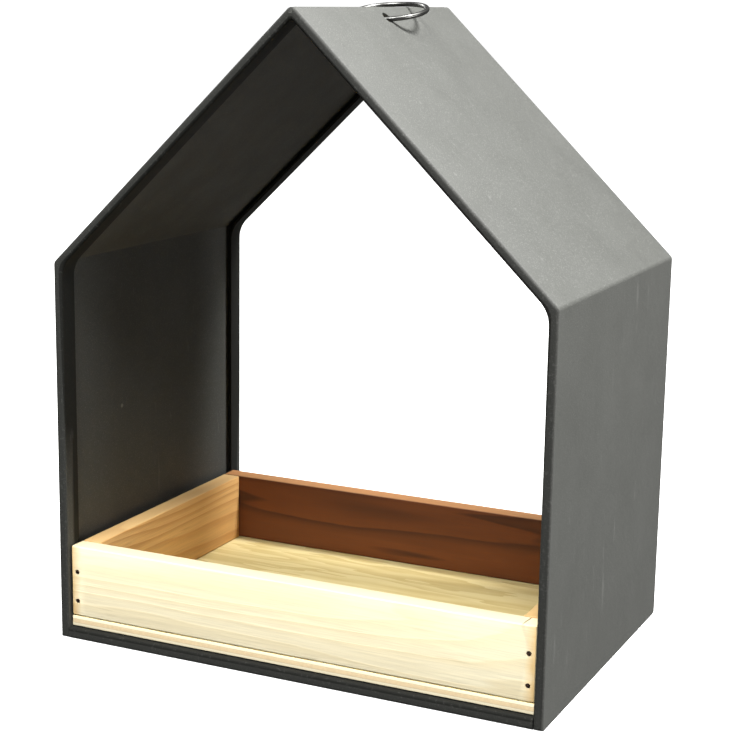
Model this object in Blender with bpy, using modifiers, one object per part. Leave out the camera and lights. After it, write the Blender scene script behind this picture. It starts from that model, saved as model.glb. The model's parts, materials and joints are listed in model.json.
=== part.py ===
"""Hanging house-shaped bird feeder: a bent sheet-steel house with a loose pine feeding tray.

Frame: metres, +Z up, +X to the right, the front opening faces -Y.
Origin: the middle of the underside, on the surface that the feeder stands on.

The house is one strip of sheet bent into two walls and a gable roof. Its front and back edges are
hemmed, which means folded back inside, so they show as a thick rim. A separate floor plate, hemmed
in the same way, closes it below. Both ends stay open. The tray lies loose on the floor's hems, and
a wire ring through two holes beside the ridge hangs the feeder up.
"""

import math

import bmesh
import bpy
from mathutils import Matrix, Vector

MM = 0.001

# ---- House shell ------------------------------------------------------------------------------
HOUSE_WIDTH = 190.0 * MM
HOUSE_DEPTH = 130.0 * MM
EAVE_HEIGHT = 141.0 * MM        # where wall and roof slope meet, before the bend is rounded
RIDGE_HEIGHT = 232.6 * MM       # where the two slopes meet, before the bend is rounded
SHEET = 1.0 * MM                # steel sheet
RIM = 3.4 * MM                  # thickness over the hem of a wall or a slope
HEM_WIDTH = 8.0 * MM            # how far the hem reaches in from the front and the back
BEND_RADIUS = 2.2 * MM          # outside radius of the bends at the eaves and the ridge
HEM_EAVE_RADIUS = 11.0 * MM     # the hem sweeps round the eave in a wider curve than the bend
HEM_RIDGE_RADIUS = 1.5 * MM
EDGE_ROUND = 1.0 * MM           # rounding where the sheet turns over into the hem
BEND_STEPS = 6                  # facets of each bend
ROUND_STEPS = 3                 # facets of each rounded hem edge
FRONT_FOOT_ROUND = 1.2 * MM     # lower front corners of the walls, seen from the side
BACK_FOOT_ROUND = 3.0 * MM      # lower back corners, and the floor plate's lower back edge
NOTCH_WIDTH = 1.1 * MM          # relief cut in the rim at the ridge, where two hems meet
NOTCH_HEIGHT = 2.0 * MM
NOTCH_DEPTH = 1.6 * MM

# ---- Floor plate ------------------------------------------------------------------------------
FLOOR_RIM = 4.2 * MM            # height over the floor's hems, which carry the tray
FLOOR_HEM_WIDTH = 10.0 * MM
FLANGE_HEIGHT = 12.0 * MM       # upturned side flange, fixed to the inside of the wall

# ---- Feeding tray -----------------------------------------------------------------------------
BOARD = 7.5 * MM                # thickness of the four boards
BOARD_HEIGHT = 26.7 * MM
PANEL = 4.0 * MM                # thickness of the bottom panel
TRAY_SETBACK = 2.0 * MM         # the tray's front behind the front rim
TRAY_BACK_SETBACK = 7.5 * MM    # the tray's back short of the back rim
TRAY_SIDE_CLEARANCE = 0.6 * MM  # to the hems of the walls, on each side
BOARD_EASE = 0.5 * MM           # sanded edges
PANEL_EASE = 0.3 * MM

# ---- Brads ------------------------------------------------------------------------------------
BRAD_SHANK_RADIUS = 0.6 * MM
BRAD_HEAD_RADIUS = 0.95 * MM
BRAD_HEAD_HEIGHT = 0.6 * MM
BRAD_LENGTH = 18.0 * MM         # through a front or back board into a side board
PANEL_BRAD_LENGTH = 14.0 * MM   # up through the bottom panel into a board
BRAD_TIP = 1.2 * MM
BRAD_SINK = 0.1 * MM            # head just below the face of the wood
BRAD_STEPS = 10
BRAD_END_DISTANCE = 2.4 * MM    # from the end of the board
BRAD_LOW = 9.8 * MM             # above the underside of the tray
BRAD_HIGH = 21.0 * MM
PANEL_BRAD_X = 60.0 * MM
PANEL_BRAD_Y = 32.0 * MM

# ---- Hanger ring ------------------------------------------------------------------------------
WIRE = 1.8 * MM
RING_RADIUS = 13.5 * MM         # to the middle of the wire
RING_ENDS_GAP = 0.8 * MM        # the ends butt inside the roof
RING_POINTS = 56
HOLE_OFFSET = 4.4 * MM          # each hole from the ridge, measured level
HOLE_PLAY = 3.2 * MM            # hole over wire, because the wire passes the sheet at a slant
HOLE_STEPS = 24

# ---- Fits -------------------------------------------------------------------------------------
GAP = 0.3 * MM                  # between pieces that touch

# ---- Worked out from the sizes above ----------------------------------------------------------
HALF_WIDTH = HOUSE_WIDTH / 2
HALF_DEPTH = HOUSE_DEPTH / 2
SLOPE = math.atan2(RIDGE_HEIGHT - EAVE_HEIGHT, HALF_WIDTH)
RIDGE_TOP = RIDGE_HEIGHT - BEND_RADIUS * (1 / math.cos(SLOPE) - 1)

TRAY_BOTTOM = FLOOR_RIM + GAP
BOARD_BOTTOM = TRAY_BOTTOM + PANEL + GAP
TRAY_HALF_WIDTH = HALF_WIDTH - RIM - TRAY_SIDE_CLEARANCE
TRAY_FRONT = -HALF_DEPTH + TRAY_SETBACK
TRAY_BACK = HALF_DEPTH - TRAY_BACK_SETBACK
TRAY_MIDDLE = (TRAY_FRONT + TRAY_BACK) / 2

RING_REACH = math.sqrt(RING_RADIUS ** 2 - HOLE_OFFSET ** 2)   # hole line to the ring's centre
HINGE_HEIGHT = RIDGE_HEIGHT - HOLE_OFFSET * math.tan(SLOPE) - SHEET / 2 / math.cos(SLOPE)
RING_REST = math.asin((RIDGE_TOP + WIRE / 2 + GAP - HINGE_HEIGHT) / (RING_REACH + RING_RADIUS))


# ---- Scene, collections and materials ---------------------------------------------------------
def clear_scene():
    for thing in list(bpy.data.objects):
        bpy.data.objects.remove(thing, do_unlink=True)


def new_collection(name):
    collection = bpy.data.collections.new(name)
    bpy.context.scene.collection.children.link(collection)
    return collection


def new_material(name, colour, roughness, metallic):
    material = bpy.data.materials.new(name)
    material.use_nodes = True
    shader = material.node_tree.nodes["Principled BSDF"]
    shader.inputs["Base Color"].default_value = (*colour, 1.0)
    shader.inputs["Roughness"].default_value = roughness
    shader.inputs["Metallic"].default_value = metallic
    material.diffuse_color = (*colour, 1.0)
    return material


def powder_coat(name):
    return new_material(name, (0.085, 0.088, 0.080), 0.55, 0.2)


def pine(name):
    return new_material(name, (0.80, 0.62, 0.36), 0.65, 0.0)


def bright_steel(name):
    return new_material(name, (0.35, 0.35, 0.34), 0.30, 1.0)


def dark_steel(name):
    return new_material(name, (0.10, 0.08, 0.06), 0.50, 0.9)


# ---- General helpers --------------------------------------------------------------------------
def add_object(name, mesh, collection, material=None, parent=None):
    thing = bpy.data.objects.new(name, mesh)
    collection.objects.link(thing)
    thing.parent = parent
    if material is not None:
        mesh.materials.append(material)
    return thing


def add_pivot(name, place, collection):
    pivot = bpy.data.objects.new(name, None)
    pivot.empty_display_size = 0.01
    pivot.location = place
    collection.objects.link(pivot)
    return pivot


def smooth_round_faces(mesh, angle=math.radians(35)):
    mesh.shade_smooth()
    mesh.set_sharp_from_angle(angle=angle)


def box_mesh(name, low, high):
    """A box between two corners."""
    low = Vector(low)
    high = Vector(high)
    bm = bmesh.new()
    bmesh.ops.create_cube(bm, size=1.0)
    bmesh.ops.scale(bm, vec=high - low, verts=bm.verts)
    bmesh.ops.translate(bm, vec=(low + high) / 2, verts=bm.verts)
    mesh = bpy.data.meshes.new(name)
    bm.to_mesh(mesh)
    bm.free()
    return mesh


def rod_mesh(name, radius, start, end, steps):
    """A plain cylinder from one point to another."""
    start = Vector(start)
    end = Vector(end)
    run = end - start
    turn = Vector((0, 0, 1)).rotation_difference(run).to_matrix().to_4x4()
    place = Matrix.Translation((start + end) / 2) @ turn
    bm = bmesh.new()
    bmesh.ops.create_cone(
        bm, cap_ends=True, segments=steps, radius1=radius, radius2=radius,
        depth=run.length, matrix=place,
    )
    mesh = bpy.data.meshes.new(name)
    bm.to_mesh(mesh)
    bm.free()
    return mesh


def prism_across_house(section, half_length):
    """A prism with the outline (y, z), from -half_length to half_length along X."""
    bm = bmesh.new()
    near = [bm.verts.new((-half_length, y, z)) for y, z in section]
    far = [bm.verts.new((half_length, y, z)) for y, z in section]
    for index in range(len(section)):
        after = (index + 1) % len(section)
        bm.faces.new((near[index], near[after], far[after], far[index]))
    bm.faces.new(near)
    bm.faces.new(far)
    return bm


def closed_mesh(bm, name):
    """Turns a bmesh's faces outwards and makes it a mesh."""
    bmesh.ops.recalc_face_normals(bm, faces=bm.faces)
    mesh = bpy.data.meshes.new(name)
    bm.to_mesh(mesh)
    bm.free()
    return mesh


def add_cutter(name, mesh, collection, parent=None):
    cutter = add_object(name, mesh, collection, parent=parent)
    cutter.hide_render = True
    cutter.display_type = "WIRE"
    return cutter


def add_boolean(thing, other, operation):
    modifier = thing.modifiers.new(other.name, "BOOLEAN")
    modifier.operation = operation
    modifier.solver = "EXACT"
    modifier.object = other


def add_bevel(thing, width, segments):
    modifier = thing.modifiers.new("eased edges", "BEVEL")
    modifier.width = width
    modifier.segments = segments
    modifier.limit_method = "ANGLE"
    modifier.angle_limit = math.radians(40)


# ---- House shell ------------------------------------------------------------------------------
def arc_round(corner, before, after, radius, steps):
    """Points of the arc that rounds a corner between two unit directions."""
    turn = math.acos(max(-1.0, min(1.0, before.dot(after))))
    reach = radius * math.tan(turn / 2)
    start = corner - before * reach
    side = 1.0 if before.cross(after) > 0 else -1.0
    centre = start + Vector((-before.y, before.x)) * radius * side
    points = []
    for step in range(steps + 1):
        angle = side * turn * step / steps
        arm = start - centre
        arm.rotate(Matrix.Rotation(angle, 2))
        points.append(centre + arm)
    return points


def gable_path(inset, eave_radius, ridge_radius):
    """The house's outline from left foot to right foot, moved inwards by inset, as (x, z)."""
    half = HALF_WIDTH - inset
    ridge = RIDGE_HEIGHT - inset / math.cos(SLOPE)
    eave = ridge - half * math.tan(SLOPE)
    up = Vector((0, 1))
    down = Vector((0, -1))
    rise = Vector((math.cos(SLOPE), math.sin(SLOPE)))
    fall = Vector((math.cos(SLOPE), -math.sin(SLOPE)))
    path = [Vector((-half, 0))]
    path += arc_round(Vector((-half, eave)), up, rise, eave_radius, BEND_STEPS)
    path += arc_round(Vector((0, ridge)), rise, fall, ridge_radius, BEND_STEPS)
    path += arc_round(Vector((half, eave)), fall, down, eave_radius, BEND_STEPS)
    path.append(Vector((half, 0)))
    return path


def quarter(centre_y, centre_inset, start_angle):
    """A quarter round of the hem's fold, as (y, inset) pairs."""
    pairs = []
    for step in range(ROUND_STEPS + 1):
        angle = start_angle + math.pi / 2 * step / ROUND_STEPS
        y = centre_y + EDGE_ROUND * math.cos(angle)
        inset = centre_inset - EDGE_ROUND * math.sin(angle)
        pairs.append((y, inset))
    return pairs


def strip_section():
    """The strip's cross-section along its depth, as (y, inset): sheet, and a hem at each end."""
    front_hem = -HALF_DEPTH + HEM_WIDTH
    back_hem = HALF_DEPTH - HEM_WIDTH
    section = []
    section += quarter(HALF_DEPTH - EDGE_ROUND, EDGE_ROUND, 0)
    section += quarter(-HALF_DEPTH + EDGE_ROUND, EDGE_ROUND, math.pi / 2)
    section += quarter(-HALF_DEPTH + EDGE_ROUND, RIM - EDGE_ROUND, math.pi)
    section += [(front_hem, RIM), (front_hem, SHEET), (back_hem, SHEET), (back_hem, RIM)]
    section += quarter(HALF_DEPTH - EDGE_ROUND, RIM - EDGE_ROUND, 3 * math.pi / 2)
    return section


def hem_share(inset):
    """0 on the sheet's own faces, 1 on the hem's inner face."""
    return max(0.0, min(1.0, (inset - SHEET) / (RIM - SHEET)))


def shell_mesh():
    """Lofts the strip's section along the gable: each of its points runs along its own path."""
    bm = bmesh.new()
    rows = []
    for y, inset in strip_section():
        share = hem_share(inset)
        bend = max(BEND_RADIUS - inset, 0.4 * MM)
        eave_radius = bend + (HEM_EAVE_RADIUS - bend) * share
        ridge_radius = bend + (HEM_RIDGE_RADIUS - bend) * share
        path = gable_path(inset, eave_radius, ridge_radius)
        rows.append([bm.verts.new((x, y, z)) for x, z in path])
    for row, next_row in zip(rows, rows[1:] + rows[:1]):
        for step in range(len(row) - 1):
            bm.faces.new((row[step], row[step + 1], next_row[step + 1], next_row[step]))
    bm.faces.new([row[0] for row in rows])
    bm.faces.new([row[-1] for row in reversed(rows)])
    bmesh.ops.recalc_face_normals(bm, faces=bm.faces)
    mesh = bpy.data.meshes.new("house_shell")
    bm.to_mesh(mesh)
    bm.free()
    smooth_round_faces(mesh)
    return mesh


def foot_offcut(end, radius):
    """What is cut off the lower corners at one end of the house, as (y, z)."""
    centre = HALF_DEPTH - radius
    section = [(end * centre, -MM), (end * (HALF_DEPTH + MM), -MM), (end * (HALF_DEPTH + MM), radius)]
    for step in range(BEND_STEPS + 1):
        angle = math.pi / 2 * step / BEND_STEPS
        y = centre + radius * math.cos(angle)
        section.append((end * y, radius - radius * math.sin(angle)))
    return section


def round_foot(thing, end, radius, cutters):
    mesh = closed_mesh(prism_across_house(foot_offcut(end, radius), HALF_WIDTH + MM), "foot")
    name = f"{thing.name}_foot_{'front' if end < 0 else 'back'}"
    add_boolean(thing, add_cutter(name, mesh, cutters), "DIFFERENCE")


def build_shell(parts, cutters):
    shell = add_object("house_shell", shell_mesh(), parts, powder_coat("shell powder coat"))
    for side in (-1, 1):
        middle = Vector((side * HOLE_OFFSET, 0, HINGE_HEIGHT))
        normal = Vector((side * math.sin(SLOPE), 0, math.cos(SLOPE)))
        reach = normal * SHEET * 2
        radius = (WIRE + HOLE_PLAY) / 2
        mesh = rod_mesh("ring_hole", radius, middle - reach, middle + reach, HOLE_STEPS)
        hole = add_cutter(f"ring_hole_{'left' if side < 0 else 'right'}", mesh, cutters)
        add_boolean(shell, hole, "DIFFERENCE")
    for end in (-1, 1):
        low = (-NOTCH_WIDTH / 2, min(end * (HALF_DEPTH - NOTCH_DEPTH), end * (HALF_DEPTH + MM)))
        high = (NOTCH_WIDTH / 2, max(end * (HALF_DEPTH - NOTCH_DEPTH), end * (HALF_DEPTH + MM)))
        mesh = box_mesh("notch", (*low, RIDGE_TOP - NOTCH_HEIGHT), (*high, RIDGE_HEIGHT + MM))
        notch = add_cutter(f"ridge_notch_{'front' if end < 0 else 'back'}", mesh, cutters)
        add_boolean(shell, notch, "DIFFERENCE")
    round_foot(shell, -1, FRONT_FOOT_ROUND, cutters)
    round_foot(shell, 1, BACK_FOOT_ROUND, cutters)
    return shell


# ---- Floor plate ------------------------------------------------------------------------------
def floor_section():
    """The floor plate's section along its depth, as (y, z), with a hem at each end."""
    front_hem = -HALF_DEPTH + FLOOR_HEM_WIDTH
    back_hem = HALF_DEPTH - FLOOR_HEM_WIDTH
    corners = [
        (-HALF_DEPTH, 0), (HALF_DEPTH, 0), (HALF_DEPTH, FLOOR_RIM), (back_hem, FLOOR_RIM),
        (back_hem, SHEET), (front_hem, SHEET), (front_hem, FLOOR_RIM), (-HALF_DEPTH, FLOOR_RIM),
    ]
    rounded = {0: EDGE_ROUND, 1: BACK_FOOT_ROUND, 2: EDGE_ROUND, 7: EDGE_ROUND}
    section = []
    for index, corner in enumerate(corners):
        here = Vector(corner)
        before = (here - Vector(corners[index - 1])).normalized()
        after = (Vector(corners[(index + 1) % len(corners)]) - here).normalized()
        if index in rounded:
            section += arc_round(here, before, after, rounded[index], ROUND_STEPS)
        else:
            section.append(here)
    return section


def face_near(bm, point):
    """The face whose middle lies nearest to the point."""
    return min(bm.faces, key=lambda face: (face.calc_center_median() - Vector(point)).length)


def drawn_out(bm, face, move):
    """Extrudes one face by a vector and returns the new face."""
    face = bmesh.ops.extrude_discrete_faces(bm, faces=[face])["faces"][0]
    bmesh.ops.translate(bm, verts=face.verts[:], vec=move)
    return face


def floor_mesh():
    """The hemmed plate. Between the hems it goes on to the walls and turns up as two flanges."""
    half = HALF_WIDTH - RIM - GAP
    outer = HALF_WIDTH - SHEET - GAP
    flange_half = HALF_DEPTH - max(HEM_WIDTH, FLOOR_HEM_WIDTH) - GAP
    bm = prism_across_house(floor_section(), half)
    for y in (-flange_half, flange_half):
        everything = bm.verts[:] + bm.edges[:] + bm.faces[:]
        bmesh.ops.bisect_plane(bm, geom=everything, plane_co=(0, y, 0), plane_no=(0, 1, 0), dist=1e-7)
    for side in (-1, 1):
        end = face_near(bm, (side * half, 0, SHEET / 2))
        end = drawn_out(bm, end, (side * (outer - SHEET - half), 0, 0))
        drawn_out(bm, end, (side * SHEET, 0, 0))
        top = face_near(bm, (side * (outer - SHEET / 2), 0, SHEET))
        drawn_out(bm, top, (0, 0, FLANGE_HEIGHT - SHEET))
    mesh = closed_mesh(bm, "floor_plate")
    smooth_round_faces(mesh)
    return mesh


def build_floor(parts):
    return add_object("floor_plate", floor_mesh(), parts, powder_coat("floor powder coat"))


# ---- Brads ------------------------------------------------------------------------------------
def brad_mesh(length):
    """A brad with its head's top at the origin and its point at -Z."""
    outline = [
        (0, 0), (BRAD_HEAD_RADIUS, 0), (BRAD_HEAD_RADIUS, -BRAD_HEAD_HEIGHT),
        (BRAD_SHANK_RADIUS, -BRAD_HEAD_HEIGHT), (BRAD_SHANK_RADIUS, -length + BRAD_TIP),
        (0, -length),
    ]
    mesh = bpy.data.meshes.new("brad")
    bm = bmesh.new()
    corners = [bm.verts.new((x, 0, z)) for x, z in outline]
    for corner, next_corner in zip(corners, corners[1:]):
        bm.edges.new((corner, next_corner))
    bm.to_mesh(mesh)
    bm.free()
    return mesh


def add_brad(name, mesh, place, direction, parts, material, parent):
    """A brad whose head lies at place and whose point looks along direction."""
    brad = add_object(name, mesh, parts, parent=parent)
    if not mesh.materials:
        mesh.materials.append(material)
    aim = Vector((0, 0, -1)).rotation_difference(Vector(direction))
    brad.rotation_euler = aim.to_euler()
    brad.location = Vector(place) - parent.location
    turning = brad.modifiers.new("turned", "SCREW")
    turning.steps = BRAD_STEPS
    turning.render_steps = BRAD_STEPS
    turning.use_merge_vertices = True
    turning.merge_threshold = 0.00001
    return brad


def bore_for_brad(board, name, place, direction, length, cutters):
    """The clear hole that one brad takes in one board: a shank bore and a head recess."""
    direction = Vector(direction)
    top = Vector(place)
    outside = top - direction * MM
    tip = top + direction * (length + GAP)
    shank = rod_mesh("bore", BRAD_SHANK_RADIUS + GAP, outside, tip, BRAD_STEPS)
    add_boolean(board, add_cutter(f"{name}_bore_{board.name}", shank, cutters), "DIFFERENCE")
    seat = top + direction * (BRAD_HEAD_HEIGHT + GAP)
    head = rod_mesh("recess", BRAD_HEAD_RADIUS + GAP, outside, seat, BRAD_STEPS)
    add_boolean(board, add_cutter(f"{name}_recess_{board.name}", head, cutters), "DIFFERENCE")


# ---- Feeding tray -----------------------------------------------------------------------------
def add_board(name, low, high, ease, parts, pivot):
    """A board between two world corners, held by the tray's pivot."""
    middle = (Vector(low) + Vector(high)) / 2
    half = (Vector(high) - Vector(low)) / 2
    board = add_object(name, box_mesh(name, -half, half), parts, pine(f"{name} pine"), pivot)
    board.location = middle - pivot.location
    add_bevel(board, ease, 1)
    return board


def build_tray(parts, cutters):
    pivot = add_pivot("tray_slide_pivot", (0, TRAY_MIDDLE, TRAY_BOTTOM), parts)
    top = BOARD_BOTTOM + BOARD_HEIGHT
    wide = TRAY_HALF_WIDTH
    inner = TRAY_HALF_WIDTH - BOARD
    side_front = TRAY_FRONT + BOARD + GAP
    side_back = TRAY_BACK - BOARD - GAP
    corners = {
        "tray_front_board": ((-wide, TRAY_FRONT), (wide, TRAY_FRONT + BOARD)),
        "tray_back_board": ((-wide, TRAY_BACK - BOARD), (wide, TRAY_BACK)),
        "tray_left_board": ((-wide, side_front), (-inner, side_back)),
        "tray_right_board": ((inner, side_front), (wide, side_back)),
    }
    boards = {}
    for name, (low, high) in corners.items():
        low_corner = (*low, BOARD_BOTTOM)
        high_corner = (*high, top)
        boards[name] = add_board(name, low_corner, high_corner, BOARD_EASE, parts, pivot)
    panel = add_board(
        "tray_bottom_panel", (-wide, TRAY_FRONT, TRAY_BOTTOM),
        (wide, TRAY_BACK, TRAY_BOTTOM + PANEL), PANEL_EASE, parts, pivot,
    )
    steel = dark_steel("brad steel")
    add_end_brads(boards, parts, cutters, steel, pivot)
    add_panel_brads(boards, panel, parts, cutters, steel, pivot)
    return pivot


def add_end_brads(boards, parts, cutters, steel, pivot):
    """Two brads at each end of the front and back boards, driven into the side boards."""
    mesh = brad_mesh(BRAD_LENGTH)
    ends = (("front", TRAY_FRONT + BRAD_SINK, 1), ("back", TRAY_BACK - BRAD_SINK, -1))
    for end, y, inward in ends:
        for word, side in (("left", -1), ("right", 1)):
            x = side * (TRAY_HALF_WIDTH - BRAD_END_DISTANCE)
            for level, height in (("low", BRAD_LOW), ("high", BRAD_HIGH)):
                name = f"brad_{end}_{word}_{level}"
                place = (x, y, TRAY_BOTTOM + height)
                direction = (0, inward, 0)
                add_brad(name, mesh, place, direction, parts, steel, pivot)
                for board in (boards[f"tray_{end}_board"], boards[f"tray_{word}_board"]):
                    bore_for_brad(board, name, place, direction, BRAD_LENGTH, cutters)


def add_panel_brads(boards, panel, parts, cutters, steel, pivot):
    """Two brads up through the bottom panel into each of the four boards."""
    mesh = brad_mesh(PANEL_BRAD_LENGTH)
    side_x = TRAY_HALF_WIDTH - BOARD / 2
    seats = {
        "tray_front_board": [(s * PANEL_BRAD_X, TRAY_FRONT + BOARD / 2) for s in (-1, 1)],
        "tray_back_board": [(s * PANEL_BRAD_X, TRAY_BACK - BOARD / 2) for s in (-1, 1)],
        "tray_left_board": [(-side_x, TRAY_MIDDLE + s * PANEL_BRAD_Y) for s in (-1, 1)],
        "tray_right_board": [(side_x, TRAY_MIDDLE + s * PANEL_BRAD_Y) for s in (-1, 1)],
    }
    for board_name, spots in seats.items():
        word = board_name.split("_")[1]
        for number, (x, y) in enumerate(spots, start=1):
            name = f"panel_brad_{word}_{number}"
            place = (x, y, TRAY_BOTTOM + BRAD_SINK)
            direction = (0, 0, 1)
            add_brad(name, mesh, place, direction, parts, steel, pivot)
            for board in (boards[board_name], panel):
                bore_for_brad(board, name, place, direction, PANEL_BRAD_LENGTH, cutters)


# ---- Hanger ring ------------------------------------------------------------------------------
def build_ring(parts):
    """An open wire ring through both holes, folded back so that it lies on the ridge."""
    pivot = add_pivot("hanger_hinge_pivot", (0, 0, HINGE_HEIGHT), parts)
    curve = bpy.data.curves.new("hanger_ring", "CURVE")
    curve.dimensions = "3D"
    curve.bevel_depth = WIRE / 2
    curve.bevel_resolution = 2
    curve.use_fill_caps = True
    spline = curve.splines.new("POLY")
    spline.points.add(RING_POINTS - 1)
    opening = RING_ENDS_GAP / RING_RADIUS
    for index, point in enumerate(spline.points):
        angle = -math.pi / 2 + opening / 2
        angle += (2 * math.pi - opening) * index / (RING_POINTS - 1)
        x = RING_RADIUS * math.cos(angle)
        y = RING_REACH + RING_RADIUS * math.sin(angle)
        point.co = (x, y, 0, 1)
    spline.use_smooth = True
    curve.materials.append(bright_steel("hanger steel"))
    ring = bpy.data.objects.new("hanger_ring", curve)
    parts.objects.link(ring)
    ring.parent = pivot
    ring.rotation_euler = (RING_REST, 0, 0)
    return ring


def main():
    clear_scene()
    parts = new_collection("hanging_bird_feeder")
    cutters = new_collection("cutters")
    build_shell(parts, cutters)
    build_floor(parts)
    build_tray(parts, cutters)
    build_ring(parts)
    bpy.context.view_layer.update()


main()
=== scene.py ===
# %% [markdown]
# # A hanging bird feeder shaped like a little house
# The feeder is a band of dark powder-coated sheet steel, bent into two walls and a gable roof.
# A plate closes its underside, a loose tray of pine boards stands on the plate, and a ring of steel
# wire goes through two holes beside the ridge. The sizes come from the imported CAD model, which is
# loaded first, so every piece made here lands where its solid is.

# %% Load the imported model
import json
import math

import bmesh
import bpy
from mathutils import Matrix, Vector, noise


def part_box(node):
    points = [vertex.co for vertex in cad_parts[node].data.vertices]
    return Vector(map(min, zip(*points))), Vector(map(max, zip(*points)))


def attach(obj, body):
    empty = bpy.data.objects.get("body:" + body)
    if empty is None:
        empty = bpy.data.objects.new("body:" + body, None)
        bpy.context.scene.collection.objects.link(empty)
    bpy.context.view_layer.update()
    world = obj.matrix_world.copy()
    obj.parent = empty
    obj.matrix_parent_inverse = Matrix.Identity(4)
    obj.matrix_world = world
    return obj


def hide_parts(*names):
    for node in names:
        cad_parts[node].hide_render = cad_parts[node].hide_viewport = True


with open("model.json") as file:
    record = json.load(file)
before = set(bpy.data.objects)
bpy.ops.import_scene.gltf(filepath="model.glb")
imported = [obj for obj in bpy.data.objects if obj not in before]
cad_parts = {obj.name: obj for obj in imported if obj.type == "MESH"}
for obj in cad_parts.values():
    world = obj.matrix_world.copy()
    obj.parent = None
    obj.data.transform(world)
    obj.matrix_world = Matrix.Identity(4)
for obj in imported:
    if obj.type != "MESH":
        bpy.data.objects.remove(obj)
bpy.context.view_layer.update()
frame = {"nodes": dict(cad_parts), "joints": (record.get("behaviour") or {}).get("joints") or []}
MM = 0.001
print("solids in the model:", len(frame["nodes"]))

# %% [markdown]
# ## Sizes
# Corner sizes are read from the boxes of the solids. The few that a box can't give, such as the
# thickness of the sheet or the width of a hem, are written down here once, in millimetres.

# %% Sizes of the house, the tray and the ring
# %% Sizes of the house, the tray and the ring
shell_low, shell_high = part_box("house_shell")
HALF_WIDTH = shell_high.x
HALF_DEPTH = shell_high.y
EAVE_HEIGHT = 141.0 * MM      # where the outer faces of wall and roof would cross
RIDGE_HEIGHT = 232.6 * MM     # where the outer faces of the slopes would cross
SHEET = 1.0 * MM
RIM = 3.4 * MM                # thickness over the folded hem
HEM_WIDTH = 8.0 * MM
EDGE_ROUND = 1.0 * MM         # outside of a folded edge
FLOOR_RIM = 4.2 * MM
FLOOR_HEM_WIDTH = 10.0 * MM
FLOOR_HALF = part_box("floor_plate")[1].x - 2.25 * MM     # ends just short of the walls' hems
FRONT_FOOT_ROUND = 1.2 * MM
BACK_FOOT_ROUND = 3.0 * MM
WIRE = 1.8 * MM
HOLE = WIRE + 3.2 * MM        # each hole leaves the wire room to swing
HOLE_OFFSET = 4.4 * MM        # from the middle of the ridge to a hole
RING_RADIUS = 13.5 * MM
REST_ANGLE = math.radians(11.6)           # how far the ring's back edge stands above level
HINGE_HEIGHT = frame["joints"][1]["pos_m"][2]
HINGE_DEPTH = frame["joints"][1]["pos_m"][1]
SLOPE = math.atan2(RIDGE_HEIGHT - EAVE_HEIGHT, HALF_WIDTH)
print("roof slope in degrees:", round(math.degrees(SLOPE), 2))

# %% [markdown]
# ## Camera
# A camera can be aimed by hand or with a Track To constraint. Here its three axes are worked out
# from a turn, a tilt and a slight roll, because that states the viewing angle in three plain numbers.
# It stands to the right of the front opening, a little above the middle, and looks slightly down.

# %% Camera
def aim_matrix(place, turn, tilt, roll):
    """Camera matrix from its place and three angles in degrees."""
    turn, tilt, roll = (math.radians(a) for a in (turn, tilt, roll))
    ahead = Vector((-math.sin(turn) * math.cos(tilt), math.cos(turn) * math.cos(tilt), math.sin(tilt)))
    right = Vector((math.cos(turn), math.sin(turn), 0))
    up = right.cross(ahead)
    leaned_right = right * math.cos(roll) + up * math.sin(roll)
    leaned_up = up * math.cos(roll) - right * math.sin(roll)
    turned = Matrix((leaned_right, leaned_up, -ahead)).transposed().to_4x4()
    return Matrix.Translation(place) @ turned


camera_data = bpy.data.cameras.new("camera")
camera_data.lens = 85.6
camera_data.sensor_width = 36.0
camera = bpy.data.objects.new("camera", camera_data)
bpy.context.scene.collection.objects.link(camera)
camera_place = Vector((0.2695, -0.5762, 0.2356))
camera.matrix_world = aim_matrix(camera_place, turn=25.13, tilt=-12.01, roll=0.91)
bpy.context.scene.camera = camera
print("camera distance in metres:", round(camera.location.length, 3))

# %% [markdown]
# ## Light
# Dark satin metal shows mostly what it reflects. Four soft panels light it: one above and to the
# right, which gives the roof its pale sheen, one straight at the right wall, one high in front,
# which lights the front board and reaches into the tray under the roof, and a weak one on the left
# for the far wall. The surrounding itself stays dim, so that the inside of the house is nearly
# black, as charcoal paint is in shade.

# %% World and light panels
scene = bpy.context.scene
scene.view_settings.view_transform = "Standard"
world = bpy.data.worlds.new("dim studio")
world.use_nodes = True
world.node_tree.nodes["Background"].inputs["Color"].default_value = (1.0, 1.0, 1.0, 1.0)
world.node_tree.nodes["Background"].inputs["Strength"].default_value = 0.18
scene.world = world
HOUSE_MIDDLE = Vector((0, 0, 0.12))


def light_panel(name, direction, distance, size, power):
    """A soft square light at a distance from the middle of the house, facing it."""
    data = bpy.data.lights.new(name, "AREA")
    data.shape = "SQUARE"
    data.size = size
    data.energy = power
    panel = bpy.data.objects.new(name, data)
    scene.collection.objects.link(panel)
    place = HOUSE_MIDDLE + Vector(direction).normalized() * distance
    facing = (HOUSE_MIDDLE - place).to_track_quat("-Z", "Y")
    panel.matrix_world = Matrix.Translation(place) @ facing.to_matrix().to_4x4()


light_panel("roof panel", (0.45, 0.10, 0.89), distance=1.6, size=0.45, power=97.0)
light_panel("side panel", (0.97, -0.02, -0.04), distance=1.8, size=0.8, power=50.0)
light_panel("front panel", (0.05, -0.52, 0.85), distance=1.8, size=0.9, power=84.0)
light_panel("left panel", (-0.9, 0.3, 0.5), distance=1.8, size=0.8, power=22.0)

# %% [markdown]
# ## Node helpers
# Every finish and every generated shape below is a node tree. Small helpers keep the trees readable:
# each adds one kind of node, feeds it numbers or links, and hands back its result.

# %% Node helpers
def feed(tree, socket, value):
    """Links another node's output to the socket, or sets its value."""
    if isinstance(value, bpy.types.NodeSocket):
        tree.links.new(value, socket)
    else:
        socket.default_value = value


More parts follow.
